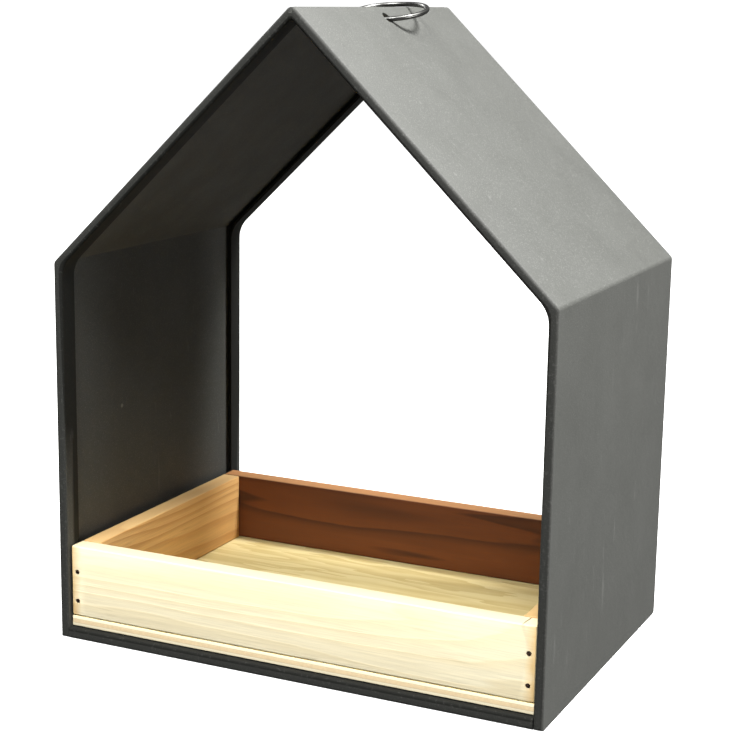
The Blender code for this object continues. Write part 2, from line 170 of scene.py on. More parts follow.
def add_node(tree, kind, inputs=None, **settings):
    """Adds a node, sets its properties, then feeds its inputs by name or number."""
    node = tree.nodes.new(kind)
    for name, value in settings.items():
        setattr(node, name, value)
    for key, value in (inputs or {}).items():
        feed(tree, node.inputs[key], value)
    return node


def calc(tree, operation, first, second=0.0, third=0.0):
    """One arithmetic step on numbers."""
    node = add_node(tree, "ShaderNodeMath", {0: first, 1: second, 2: third}, operation=operation)
    return node.outputs[0]


def join(tree, x=0.0, y=0.0, z=0.0):
    """A vector made of three numbers."""
    return add_node(tree, "ShaderNodeCombineXYZ", {0: x, 1: y, 2: z}).outputs[0]


def split(tree, vector):
    """The three numbers of a vector."""
    return add_node(tree, "ShaderNodeSeparateXYZ", {0: vector}).outputs


def blend_colours(tree, share, first, second, blend_type="MIX"):
    """Mixes two colours by a share from 0 to 1."""
    node = add_node(tree, "ShaderNodeMix", data_type="RGBA", blend_type=blend_type)
    feed(tree, node.inputs[0], share)
    feed(tree, node.inputs[6], first)
    feed(tree, node.inputs[7], second)
    return node.outputs[2]


def step_map(tree, value, low, high, to_low=0.0, to_high=1.0):
    """Maps a range of a value to another range, clamped at both ends."""
    node = add_node(tree, "ShaderNodeMapRange", {
        "Value": value, "From Min": low, "From Max": high, "To Min": to_low, "To Max": to_high,
    })
    return node.outputs[0]


def stretch(tree, where, along=1.0, up=1.0):
    """Shrinks the space along X or Z, which draws a pattern in it out that way."""
    return add_node(tree, "ShaderNodeMapping", {"Vector": where, "Scale": (along, 1, up)}).outputs[0]


def grain_noise(tree, where, scale, detail=2.0, roughness=0.5):
    """Noise from 0 to 1 at a number of features per metre."""
    node = add_node(tree, "ShaderNodeTexNoise", {
        "Vector": where, "Scale": scale, "Detail": detail, "Roughness": roughness,
    })
    return node.outputs[0]


def bump(tree, height, strength, distance, under=None):
    """A surface direction bent by a height, on top of another bump if there is one."""
    inputs = {"Height": height, "Strength": strength, "Distance": distance}
    if under is not None:
        inputs["Normal"] = under
    return add_node(tree, "ShaderNodeBump", inputs).outputs[0]


def new_finish(name):
    """A new material: returns it, its tree, its surface shader and its coordinates."""
    finish = bpy.data.materials.new(name)
    finish.use_nodes = True
    tree = finish.node_tree
    surface = tree.nodes["Principled BSDF"]
    return finish, tree, surface.inputs, add_node(tree, "ShaderNodeTexCoord").outputs


# %% [markdown]
# ## Floor and backdrop
# The stage is a pale floor inside a white dome. Both glow a little, so they come out white without
# strong light on them. Their glow is switched off for every ray but the camera's own, because a
# glowing room would fill the dark inside of the house with light.

# %% Stage
def pale_stage(name, glow):
    finish, tree, surface, source = new_finish(name)
    patches = grain_noise(tree, source["Object"], 6.0)
    tone = blend_colours(tree, patches, (0.36, 0.36, 0.36, 1), (0.38, 0.38, 0.38, 1))
    feed(tree, surface["Base Color"], tone)
    surface["Roughness"].default_value = 0.9
    surface["Emission Color"].default_value = (1.0, 1.0, 1.0, 1.0)
    surface["Emission Strength"].default_value = glow
    return finish


def as_mesh(bm, name):
    """Turns a mesh that is being edited into a finished one."""
    mesh = bpy.data.meshes.new(name)
    bm.to_mesh(mesh)
    bm.free()
    return mesh


def stage_piece(name, bm, finish):
    piece = bpy.data.objects.new(name, as_mesh(bm, name))
    piece.data.materials.append(finish)
    scene.collection.objects.link(piece)
    piece.visible_diffuse = False
    piece.visible_glossy = False
    return piece


bm = bmesh.new()
bmesh.ops.create_circle(bm, cap_ends=True, segments=96, radius=9.0)
stage_piece("studio_floor", bm, pale_stage("pale floor", 0.95))
bm = bmesh.new()
bmesh.ops.create_uvsphere(bm, u_segments=48, v_segments=24, radius=10.0)
studio_dome = stage_piece("studio_dome", bm, pale_stage("white dome", 1.0))
studio_dome.visible_shadow = False

# %% [markdown]
# ## Finish: powder coat
# The steel is sprayed with a charcoal polyester powder and baked. The powder melts into a skin that
# is never quite smooth: it has a fine, sandy grain, slightly lighter and darker patches where the
# spray was thicker or thinner, and a few pale rub marks from handling.
# A flat dark colour with some roughness would read as plastic. Two layers of noise give the grain,
# one of them as bump. Painted shade darkens the front and back rims and the insides of the hems,
# which are also made duller; for the hems the finish reads how deep in the fold a point is, which
# the sheet's own tree stores on it.

# %% Powder coat
PAINT_BEAD = (-0.094, -0.0235, 0.080)     # a drop of powder that melted on the left wall, inside
FOLD_SHADE = 0.85                         # how far painted shade darkens the coat inside a fold


def powder_coat(name):
    finish, tree, surface, source = new_finish(name)
    where = source["Object"]
    patches = grain_noise(tree, where, 24.0, 4.0, 0.6)
    colour = blend_colours(tree, patches, (0.036, 0.037, 0.033, 1), (0.044, 0.045, 0.040, 1))
    flecks = step_map(tree, grain_noise(tree, where, 2200.0, 1.0), 0.58, 0.72, 0.0, 0.5)
    colour = blend_colours(tree, flecks, colour, (0.12, 0.12, 0.11, 1))
    pits = step_map(tree, grain_noise(tree, where, 700.0, 4.0, 0.7), 0.30, 0.42, 0.5, 0.0)
    colour = blend_colours(tree, pits, colour, (0.02, 0.02, 0.018, 1))

    # painted shade: the front and back rims and the insides of the hems are darkened, and below made less
    # glossy
    from_middle = calc(tree, "ABSOLUTE", split(tree, where)[1])
    edge = step_map(tree, from_middle, HALF_DEPTH - 1.1 * MM, HALF_DEPTH - 0.4 * MM)
    fold = add_node(tree, "ShaderNodeAttribute", attribute_name="fold").outputs[2]
    folded = step_map(tree, fold, 0.4, 0.6, 0.0, FOLD_SHADE)
    rim_and_hem_shade = calc(tree, "MAXIMUM", calc(tree, "MULTIPLY", edge, 0.5), folded)
    colour = blend_colours(tree, rim_and_hem_shade, colour, (0.006, 0.006, 0.005, 1))

    # pale chips along the rims: worn paint, and partly a painted highlight on the edges
    chips_and_glints = step_map(tree, grain_noise(tree, where, 900.0, 2.0, 0.6), 0.60, 0.68, 0.0, 0.14)
    colour = blend_colours(tree, calc(tree, "MULTIPLY", edge, chips_and_glints), colour, (0.14, 0.14, 0.13, 1))
    streaks = grain_noise(tree, stretch(tree, where, up=0.16), 260.0, 3.0, 0.65)
    rubs = step_map(tree, streaks, 0.66, 0.74, 0.0, 0.22)
    colour = blend_colours(tree, rubs, colour, (0.15, 0.15, 0.14, 1))
    apart = add_node(tree, "ShaderNodeVectorMath", {0: where, 1: PAINT_BEAD}, operation="DISTANCE")
    bead = step_map(tree, apart.outputs[1], 1.0 * MM, 0.5 * MM)
    colour = blend_colours(tree, bead, colour, (0.16, 0.15, 0.13, 1))
    feed(tree, surface["Base Color"], colour)

    sheen = step_map(tree, grain_noise(tree, where, 60.0, 4.0), 0.3, 0.7, 0.54, 0.62)
    feed(tree, surface["Roughness"], calc(tree, "MULTIPLY_ADD", edge, 0.22, sheen))
    gloss = step_map(tree, rim_and_hem_shade, 0.0, FOLD_SHADE, 0.5, 0.12)
    feed(tree, surface["Specular IOR Level"], gloss)
    grains = calc(tree, "MULTIPLY_ADD", bead, 3.0, grain_noise(tree, where, 1500.0, 2.0, 0.6))
    fine = bump(tree, grains, 0.55, 0.06 * MM)
    waves = grain_noise(tree, where, 45.0, 1.0)
    feed(tree, surface["Normal"], bump(tree, waves, 0.12, 0.4 * MM, fine))
    return finish


house_coat = powder_coat("charcoal powder coat")
print("finish ready:", house_coat.name)

# %% [markdown]
# ## Finish: bare pine
# The boards are flat-sawn softwood, planed and left bare. Along a board, the growth rings show as
# long wandering bands, pale in the soft spring wood and tan in the hard summer wood. Fine fibres and
# short resin streaks lie between them, and the cut ends show the rings edge-on and darker.
# The rings could be a Wave texture, but it repeats too evenly. Here the height across the board is
# bent by a long, slow noise and then folded into teeth, so each band has one soft and one sharp side.

# %% Bare pine
# colour of the painted shade that the walls cast on the ends of the boards
END_SHADE_TONE = (0.66, 0.40, 0.12, 1)
END_SHADE_STARTS, END_SHADE_FULL = 89.0 * MM, 92.5 * MM     # where the painted shade at the ends starts and where it is full, from the middle of the board


def bare_pine(name, along, pale, tan, shift, top_lighting_tone, top_lighting_share,
              ring_pitch=4.2 * MM, figure=1.0, end_shaded=0.0):
    """along is the grain's axis, 0 for X or 1 for Y; shift moves the pattern to another plank.
    The two top arguments give the top face painted shade on the front and side boards and a painted
    highlight on the back board: its colour, and how far it goes that way.
    figure is how strongly the rings show; the last argument is how strongly painted shade from the walls
    darkens the board's two ends."""
    finish, tree, surface, source = new_finish(name)
    placed = add_node(tree, "ShaderNodeMapping", {
        "Vector": source["Object"], "Location": shift, "Rotation": (0, 0, math.radians(90 * along)),
    }).outputs[0]
    drawn_out = stretch(tree, placed, 0.09)
    bend = grain_noise(tree, drawn_out, 38.0, 2.0, 0.45)
    wander = grain_noise(tree, drawn_out, 130.0, 2.0)
    axes = split(tree, placed)
    rings = calc(tree, "MULTIPLY_ADD", axes[2], 1 / ring_pitch, calc(tree, "MULTIPLY", bend, 9.0))
    rings = calc(tree, "MULTIPLY_ADD", axes[1], 0.35 / ring_pitch, rings)
    rings = calc(tree, "MULTIPLY_ADD", wander, 0.8, rings)
    tooth = calc(tree, "FRACT", rings)
    summer = calc(tree, "MULTIPLY", step_map(tree, tooth, 0.35, 0.9), step_map(tree, tooth, 1.0, 0.92))
    strength = step_map(tree, grain_noise(tree, drawn_out, 22.0), 0.3, 0.7, 0.25 * figure, figure)
    colour = blend_colours(tree, calc(tree, "MULTIPLY", summer, strength), pale, tan)

    fibres = grain_noise(tree, stretch(tree, placed, 0.03), 1900.0, 3.0, 0.6)
    grey = step_map(tree, fibres, 0.30, 0.70, 0.86, 1.08)
    shade = add_node(tree, "ShaderNodeCombineColor", {0: grey, 1: grey, 2: grey}).outputs[0]
    colour = blend_colours(tree, 0.8, colour, shade, "MULTIPLY")
    streaks = step_map(tree, grain_noise(tree, drawn_out, 520.0, 1.0), 0.70, 0.80, 0.0, 0.35)
    deep = tuple(c * 0.55 for c in tan[:3]) + (1,)
    colour = blend_colours(tree, streaks, colour, deep)
    clouds = step_map(tree, grain_noise(tree, drawn_out, 75.0, 3.0, 0.6), 0.35, 0.75, 0.0, 0.45)
    colour = blend_colours(tree, clouds, colour, tan)

    # painted shade: both ends of a board are browned where the walls shade them
    from_middle = calc(tree, "ABSOLUTE", split(tree, source["Object"])[along])
    rag = calc(tree, "MULTIPLY", grain_noise(tree, placed, 160.0), 4.0 * MM)
    near_end = calc(tree, "ADD", from_middle, rag)
    end_shade = step_map(tree, near_end, END_SHADE_STARTS, END_SHADE_FULL, 0.0, end_shaded)
    colour = blend_colours(tree, end_shade, colour, END_SHADE_TONE)
    normal = split(tree, source["Normal"])
    # painted light and shade on the top faces: darker on the front and side boards, paler on the back
    # board
    top_lighting = step_map(tree, normal[2], 0.5, 0.9, 0.0, top_lighting_share)
    colour = blend_colours(tree, top_lighting, colour, top_lighting_tone)
    cut_end = step_map(tree, calc(tree, "ABSOLUTE", normal[along]), 0.6, 0.8)
    end_tone = blend_colours(tree, step_map(tree, tooth, 0.2, 0.9, 0.45, 0.75), deep, tan)
    colour = blend_colours(tree, calc(tree, "MULTIPLY", cut_end, 0.8), colour, end_tone)
    feed(tree, surface["Base Color"], colour)

    feed(tree, surface["Roughness"], step_map(tree, fibres, 0.3, 0.7, 0.52, 0.70))
    surface["Specular IOR Level"].default_value = 0.35
    ridges = bump(tree, summer, 0.3, 0.12 * MM)
    feed(tree, surface["Normal"], bump(tree, fibres, 0.45, 0.10 * MM, ridges))
    return finish


# the front board gets painted shade at both ends and on its top face
front_pine = bare_pine(
    "pale pine, front", 0, pale=(0.88, 0.80, 0.57, 1), tan=(0.80, 0.67, 0.40, 1),
    shift=(0.11, 0.02, 0.013), top_lighting_tone=(0.62, 0.55, 0.36, 1), top_lighting_share=0.85,
    ring_pitch=6.5 * MM, figure=0.6, end_shaded=0.7)
# the side boards' pine is darker and more orange than the front: partly the plank's own tone, partly
# painted shade on the unlit inner faces
side_pine = bare_pine(
    "tan pine, partly painted shade, sides", 1, pale=(0.72, 0.44, 0.17, 1), tan=(0.48, 0.22, 0.06, 1),
    shift=(0.31, 0.07, 0.05), top_lighting_tone=(0.36, 0.27, 0.13, 1), top_lighting_share=0.55)
# the back board's pine is made very dark as painted shade under the roof, with a painted highlight on its
# top
back_pine = bare_pine(
    "pine in painted shade, back", 0, pale=(0.135, 0.036, 0.006, 1), tan=(0.036, 0.010, 0.002, 1),
    shift=(0.57, 0.15, 0.11), top_lighting_tone=(0.42, 0.21, 0.08, 1), top_lighting_share=0.6,
    ring_pitch=7.5 * MM, figure=0.9)
print("finishes ready:", front_pine.name, side_pine.name, back_pine.name)

# %% [markdown]
# ## Finish: thin plywood
# The bottom of the tray is thin three-ply board. Its face is rotary-cut, with broad, soft figure, and
# its edge shows the plies: pale outer ones and a darker core, with the glue as thin lines between.
# One material does both: it reads the height for the plies, and the direction of the face for where
# the edge is.

# %% Plywood
def thin_plywood(name, low, high):
    """low and high are the heights of the panel's two faces; the plies lie between them."""
    finish, tree, surface, source = new_finish(name)
    where = source["Object"]
    figure = grain_noise(tree, stretch(tree, where, 0.12), 70.0, 3.0, 0.55)
    bands = calc(tree, "FRACT", calc(tree, "MULTIPLY", figure, 7.0))
    bands = step_map(tree, bands, 0.2, 0.95)
    # the face colours are darker than the ply's own pale tone: painted shade from the roof over the tray
    # floor
    face = blend_colours(tree, bands, (0.58, 0.48, 0.23, 1), (0.47, 0.36, 0.14, 1))
    pores = grain_noise(tree, stretch(tree, where, 0.05), 1500.0, 2.0)
    dark_pores = step_map(tree, pores, 0.62, 0.75, 0.0, 0.4)
    face = blend_colours(tree, dark_pores, face, (0.55, 0.38, 0.2, 1))

    share = step_map(tree, split(tree, where)[2], low, high)
    core = calc(tree, "COMPARE", share, 0.5, 0.17)
    off_middle = calc(tree, "ABSOLUTE", calc(tree, "SUBTRACT", share, 0.5))
    glue = calc(tree, "COMPARE", off_middle, 0.19, 0.025)
    specks = grain_noise(tree, where, 900.0, 2.0)
    core_tone = blend_colours(tree, specks, (0.62, 0.47, 0.27, 1), (0.78, 0.62, 0.38, 1))
    edge = blend_colours(tree, core, (0.86, 0.77, 0.54, 1), core_tone)
    edge = blend_colours(tree, calc(tree, "MULTIPLY", glue, 0.45), edge, (0.30, 0.18, 0.09, 1))

    up = split(tree, source["Normal"])[2]
    on_edge = step_map(tree, calc(tree, "ABSOLUTE", up), 0.7, 0.4)
    feed(tree, surface["Base Color"], blend_colours(tree, on_edge, face, edge))
    feed(tree, surface["Roughness"], step_map(tree, pores, 0.3, 0.7, 0.55, 0.72))
    feed(tree, surface["Normal"], bump(tree, pores, 0.4, 0.08 * MM))
    return finish


panel_low, panel_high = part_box("tray_bottom_panel")
ply = thin_plywood("three-ply board", panel_low.z, panel_high.z)
print("ply thickness in mm:", round((panel_high.z - panel_low.z) / MM, 2))

# %% [markdown]
# ## Finishes: brads and wire
# The brads are plain steel that has darkened and begun to rust. The ring is drawn wire: satin, with
# fine lines along it and a darker film of oil and oxide in patches.

# %% Brad steel and ring wire
def dark_steel(name):
    finish, tree, surface, source = new_finish(name)
    rust = step_map(tree, grain_noise(tree, source["Object"], 1400.0, 3.0), 0.42, 0.62)
    colour = blend_colours(tree, rust, (0.035, 0.028, 0.024, 1), (0.07, 0.028, 0.012, 1))
    feed(tree, surface["Base Color"], colour)
    feed(tree, surface["Metallic"], calc(tree, "SUBTRACT", 1.0, rust))
    feed(tree, surface["Roughness"], step_map(tree, rust, 0.0, 1.0, 0.42, 0.85))
    feed(tree, surface["Normal"], bump(tree, rust, 0.4, 0.05 * MM))
    return finish


def drawn_wire(name):
    finish, tree, surface, source = new_finish(name)
    film = step_map(tree, grain_noise(tree, source["Object"], 320.0, 3.0), 0.35, 0.65)
    colour = blend_colours(tree, film, (0.11, 0.11, 0.105, 1), (0.05, 0.05, 0.047, 1))
    feed(tree, surface["Base Color"], colour)
    surface["Metallic"].default_value = 1.0
    feed(tree, surface["Roughness"], step_map(tree, film, 0.0, 1.0, 0.30, 0.42))
    lines = grain_noise(tree, source["Object"], 2600.0, 1.0)
    feed(tree, surface["Normal"], bump(tree, lines, 0.25, 0.03 * MM))
    return finish


brad_metal = dark_steel("dark brad steel")
ring_metal = drawn_wire("satin drawn wire")

# %% [markdown]
# ## Geometry Nodes helpers
# A tree gets named inputs for its sizes. The modifier's inputs are set by their identifiers before
# anything is evaluated, and the result is turned into a plain mesh straight away.

# %% Geometry Nodes helpers
def shape_tree(name, sizes, counts=()):
    """A new tree with a geometry input and output, and one input for each size, count and the finish."""
    tree = bpy.data.node_groups.new(name, "GeometryNodeTree")
    tree.interface.new_socket("Geometry", in_out="INPUT", socket_type="NodeSocketGeometry")
    for label in sizes:
        tree.interface.new_socket(label, in_out="INPUT", socket_type="NodeSocketFloat")
    for label in counts:
        tree.interface.new_socket(label, in_out="INPUT", socket_type="NodeSocketInt")
    tree.interface.new_socket("Finish", in_out="INPUT", socket_type="NodeSocketMaterial")
    tree.interface.new_socket("Geometry", in_out="OUTPUT", socket_type="NodeSocketGeometry")
    given = tree.nodes.new("NodeGroupInput")
    return tree, given


def close_tree(tree, given, shape):
    """Ends a tree: instances made real, the finish set, and the result sent out."""
    real = add_node(tree, "GeometryNodeRealizeInstances", {"Geometry": shape})
    dressed = add_node(tree, "GeometryNodeSetMaterial", {
        "Geometry": real.outputs[0], "Material": given.outputs["Finish"],
    })
    end = tree.nodes.new("NodeGroupOutput")
    tree.links.new(dressed.outputs[0], end.inputs[0])


def grow(name, tree, values, host_mesh=None):
    """Evaluates the tree once and returns an object that holds the result as a plain mesh."""
    piece = bpy.data.objects.new(name, host_mesh or bpy.data.meshes.new(name))
    modifier = piece.modifiers.new("shape", "NODES")
    modifier.node_group = tree
    for item in tree.interface.items_tree:
        if item.in_out == "INPUT" and item.name in values:
            modifier[item.identifier] = values[item.name]
    scene.collection.objects.link(piece)
    graph = bpy.context.evaluated_depsgraph_get()
    mesh = bpy.data.meshes.new_from_object(piece.evaluated_get(graph))
    mesh.name = name
    for face in mesh.polygons:
        face.material_index = 0
    mesh.materials.clear()
    mesh.materials.append(values["Finish"])
    piece.modifiers.clear()
    piece.data = mesh
    return piece


def pick(tree, kind, choices):
    """A field that gives point 0 the first choice, point 1 the second, and so on."""
    node = tree.nodes.new("GeometryNodeIndexSwitch")
    node.data_type = kind
    while len(node.index_switch_items) < len(choices):
        node.index_switch_items.new()
    feed(tree, node.inputs["Index"], tree.nodes.new("GeometryNodeInputIndex").outputs[0])
    for number, choice in enumerate(choices):
        feed(tree, node.inputs[number + 1], choice)
    return node.outputs[0]


def corner_line(tree, corners, radii=None, steps=0, closed=False):
    """A line through the corners, each rounded with its radius. Returns the curve's socket."""
    line = add_node(tree, "GeometryNodeMeshLine", {"Count": len(corners)})
    placed = add_node(tree, "GeometryNodeSetPosition", {
        "Geometry": line.outputs[0], "Position": pick(tree, "VECTOR", corners),
    })
    curve = add_node(tree, "GeometryNodeMeshToCurve", {"Mesh": placed.outputs[0]}).outputs[0]
    if closed:
        curve = add_node(tree, "GeometryNodeSetSplineCyclic", {
            "Geometry": curve, "Cyclic": True}).outputs[0]
    if radii:
        curve = add_node(tree, "GeometryNodeFilletCurve", {
            "Curve": curve, "Radius": pick(tree, "FLOAT", radii), "Count": steps,
        }, mode="POLY").outputs[0]
    return curve


def place_at(tree, curve, index):
    """Where the point with that index on a curve is."""
    place = tree.nodes.new("GeometryNodeInputPosition").outputs[0]
    return add_node(tree, "GeometryNodeSampleIndex", {
        "Geometry": curve, "Value": place, "Index": index}, data_type="FLOAT_VECTOR").outputs[0]


def row_and_step(tree, row_length):
    """Which row of a grid a point is in, and its number in that row."""
    index = tree.nodes.new("GeometryNodeInputIndex").outputs[0]
    row = calc(tree, "FLOOR", calc(tree, "DIVIDE", calc(tree, "ADD", index, 0.5), row_length))
    return row, calc(tree, "SUBTRACT", index, calc(tree, "MULTIPLY", row, row_length))


def shape_grid(tree, grid, place, near):
    """Moves each point of a grid to its place and joins those that end up nearer than near."""
    moved = add_node(tree, "GeometryNodeSetPosition", {"Geometry": grid, "Position": place})
    return add_node(tree, "GeometryNodeMergeByDistance", {
        "Geometry": moved.outputs[0], "Distance": near}).outputs[0]


# %% [markdown]
# ## Folded sheet
# Shell and floor plate are both strips of sheet whose front and back edges are folded over into a
# hem. The strip could be modelled flat with a Solidify modifier and bent, but the inner corners of
# the hem are much rounder than the outer ones. So the strip is lofted: its cross-section lies in a
# plane of depth and thickness, and three rails say where the outer face, the inner face of the sheet
# and the inner face of the hem run. Each point of the section slides along a blend of two rails.

# %% Cross-section with open hems
HEM_CORNER = 0.1 * MM         # rounding of the corners inside a hem


def hem_section(tree, sizes):
    """The closed outline of the strip. Each corner is (depth, thickness)."""
    corners = []
    radii = []
    depth, edge = sizes["Half depth"], sizes["Edge round"]
    rim, sheet = sizes["Rim"], sizes["Sheet"]
    under = calc(tree, "SUBTRACT", rim, sheet)
    lip = calc(tree, "SUBTRACT", depth, sizes["Hem width"])
    inside = calc(tree, "ADD", lip, sizes["Hem slot"])
    for side in (-1.0, 1.0):
        rows = [(depth, 0.0, edge), (depth, rim, edge), (lip, rim, HEM_CORNER),
                (lip, under, HEM_CORNER), (inside, under, HEM_CORNER), (inside, sheet, HEM_CORNER)]
        if side > 0:
            rows.reverse()
        for y, inset, radius in rows:
            corners.append(join(tree, calc(tree, "MULTIPLY", y, side), inset))
            radii.append(radius)
    return corner_line(tree, corners, radii, 4, closed=True)


def loft_strip(tree, rails, sizes):
    """Sends the section's points along the blended rails and returns a mesh."""
    def points_of(curve):
        counted = add_node(tree, "GeometryNodeAttributeDomainSize", {"Geometry": curve},
                           component="CURVE")
        return counted.outputs[0]

    def blend_places(share, first, second):
        return add_node(tree, "ShaderNodeMix", {0: share, 4: first, 5: second},
                        data_type="VECTOR").outputs[1]

    section = hem_section(tree, sizes)
    around = points_of(section)
    columns = calc(tree, "ADD", around, 1.0)
    grid = add_node(tree, "GeometryNodeMeshGrid", {
        "Vertices X": points_of(rails[0]), "Vertices Y": columns})
    along, across = row_and_step(tree, columns)
    across = calc(tree, "FLOORED_MODULO", across, around)
    outer, middle, inner = [place_at(tree, rail, along) for rail in rails]
    spot = split(tree, place_at(tree, section, across))
    thin = step_map(tree, spot[1], 0.0, sizes["Sheet"])
    thick = step_map(tree, spot[1], sizes["Sheet"], sizes["Rim"])
    level = split(tree, blend_places(thick, blend_places(thin, outer, middle), inner))
    place = join(tree, level[0], spot[0], level[2])
    noted = add_node(tree, "GeometryNodeStoreNamedAttribute", {
        "Geometry": grid.outputs[0], "Name": "fold", "Value": thick}, data_type="FLOAT", domain="POINT")
    return shape_grid(tree, noted.outputs[0], place, 0.002 * MM)


# %% House strip: five corners, two feet, two eaves and the ridge
tree, given = shape_tree("folded house strip", [
    "Half width", "Half depth", "Eave height", "Ridge height", "Sheet", "Rim", "Hem width",
    "Edge round", "Outer bend", "Eave round inside", "Ridge round inside", "Hem slot"], ["Bend steps"])
sizes = given.outputs
rise = calc(tree, "SUBTRACT", sizes["Ridge height"], sizes["Eave height"])
steep = calc(tree, "DIVIDE", rise, sizes["Half width"])
longer = calc(tree, "SQRT", calc(tree, "MULTIPLY_ADD", steep, steep, 1.0))


def gable_rail(inset, eave_round, ridge_round):
    """The gable's outline moved inwards by inset, as a curve."""
    half = calc(tree, "SUBTRACT", sizes["Half width"], inset)
    top = calc(tree, "SUBTRACT", sizes["Ridge height"], calc(tree, "MULTIPLY", inset, longer))
    eave = calc(tree, "SUBTRACT", top, calc(tree, "MULTIPLY", half, steep))
    minus = calc(tree, "MULTIPLY", half, -1.0)
    rows = [(minus, 0.0), (minus, eave), (0.0, top), (half, eave), (half, 0.0)]
    corners = [join(tree, x, z=z) for x, z in rows]
    radii = [eave_round, eave_round, ridge_round, eave_round, eave_round]
    return corner_line(tree, corners, radii, sizes["Bend steps"])


middle_round = calc(tree, "SUBTRACT", sizes["Outer bend"], sizes["Sheet"])
house_rails = [
    gable_rail(0.0, sizes["Outer bend"], sizes["Outer bend"]),
    gable_rail(sizes["Sheet"], middle_round, middle_round),
    gable_rail(sizes["Rim"], sizes["Eave round inside"], sizes["Ridge round inside"]),
]
close_tree(tree, given, loft_strip(tree, house_rails, sizes))
house = grow("house_skin", tree, {
    "Half width": HALF_WIDTH, "Half depth": HALF_DEPTH, "Eave height": EAVE_HEIGHT,
    "Ridge height": RIDGE_HEIGHT, "Sheet": SHEET, "Rim": RIM, "Hem width": HEM_WIDTH,
    "Edge round": EDGE_ROUND, "Outer bend": 2.2 * MM, "Eave round inside": 11.0 * MM,
    "Ridge round inside": 1.5 * MM, "Hem slot": 5.0 * MM, "Bend steps": 10, "Finish": house_coat})
print("strip before trimming:", len(house.data.vertices), "points,", len(house.data.polygons), "faces")

# %% [markdown]
# ## Feet, holes and notches
# The loft leaves the two feet open, so each open loop is filled. Two holes for the ring and the small
# open corner where the hems meet at the ridge are then cut away with a Boolean, as they are drilled
# and snipped on the real one.

# %% Close and cut
CLEAR = 1 * MM                # how far a cutter stands out of what it cuts
HOLE_REACH = 4                # half the length of a hole's cutter, in millimetres
NOTCH_HALF = 0.65 * MM        # the open corner at the ridge: half its width, its depth, its height
NOTCH_DEPTH = 3.2 * MM
NOTCH_HEIGHT = 2.0 * MM
OFFCUT_HALF = 0.1             # half the length of a foot's offcut, wider than the house
FOOT_STEPS = 8


def close_ends(piece):
    """Fills the open loops of a lofted strip and turns all faces outwards."""
    bm = bmesh.new()
    bm.from_mesh(piece.data)
    open_edges = [edge for edge in bm.edges if len(edge.link_faces) == 1]
    filled = bmesh.ops.edgeloop_fill(bm, edges=open_edges)["faces"]
    bmesh.ops.triangulate(bm, faces=filled)
    bmesh.ops.recalc_face_normals(bm, faces=bm.faces)
    bm.to_mesh(piece.data)
    bm.free()


def rod(start, end, radius, steps, end_radius=None):
    """A cylinder or cone between two points, as a mesh."""
    run = end - start
    turn = Vector((0, 0, 1)).rotation_difference(run).to_matrix().to_4x4()
    bm = bmesh.new()
    bmesh.ops.create_cone(
        bm, cap_ends=True, segments=steps, radius1=radius,
        radius2=radius if end_radius is None else end_radius,
        depth=run.length, matrix=Matrix.Translation((start + end) / 2) @ turn,
    )
    return as_mesh(bm, "rod")


def box_between(low, high):
    """A box between two corners, open for editing."""
    bm = bmesh.new()
    bmesh.ops.create_cube(bm, size=1.0)
    bmesh.ops.scale(bm, vec=high - low, verts=bm.verts)
    bmesh.ops.translate(bm, vec=(low + high) / 2, verts=bm.verts)
    return bm


def cut_away(piece, cutters):
    """Takes each cutter mesh out of the piece."""
    helpers = []
    for cutter in cutters:
        cutter.materials.append(piece.data.materials[0])
        helper = bpy.data.objects.new("cutter", cutter)
        scene.collection.objects.link(helper)
        helpers.append(helper)
        modifier = piece.modifiers.new("cut", "BOOLEAN")
        modifier.operation = "DIFFERENCE"
        modifier.solver = "EXACT"
        modifier.object = helper
    bpy.context.view_layer.update()
    graph = bpy.context.evaluated_depsgraph_get()
    mesh = bpy.data.meshes.new_from_object(piece.evaluated_get(graph))
    piece.modifiers.clear()
    piece.data = mesh
    for helper in helpers:
        bpy.data.objects.remove(helper, do_unlink=True)


def smooth_bends(piece, degrees=32):
    """Smooth shading on bends, sharp on real corners."""
    piece.data.shade_smooth()
    piece.data.set_sharp_from_angle(angle=math.radians(degrees))


def foot_offcut(side, radius):
    """What is ground off the walls' lower corners at the front (-1) or the back (1)."""
    centre = HALF_DEPTH - radius
    outline = [(centre, -CLEAR), (HALF_DEPTH + CLEAR, -CLEAR), (HALF_DEPTH + CLEAR, radius)]
    for step in range(FOOT_STEPS + 1):
        angle = math.pi / 2 * step / FOOT_STEPS
        outline.append((centre + radius * math.cos(angle), radius - radius * math.sin(angle)))
    bm = bmesh.new()
    loops = [[bm.verts.new((x, side * y, z)) for y, z in outline] for x in (-OFFCUT_HALF, OFFCUT_HALF)]
    for k in range(len(outline)):
        after = (k + 1) % len(outline)
        bm.faces.new((loops[0][k], loops[0][after], loops[1][after], loops[1][k]))
    caps = [bm.faces.new(loop) for loop in loops]
    bmesh.ops.triangulate(bm, faces=caps)
    bmesh.ops.recalc_face_normals(bm, faces=bm.faces)
    return as_mesh(bm, "foot offcut")


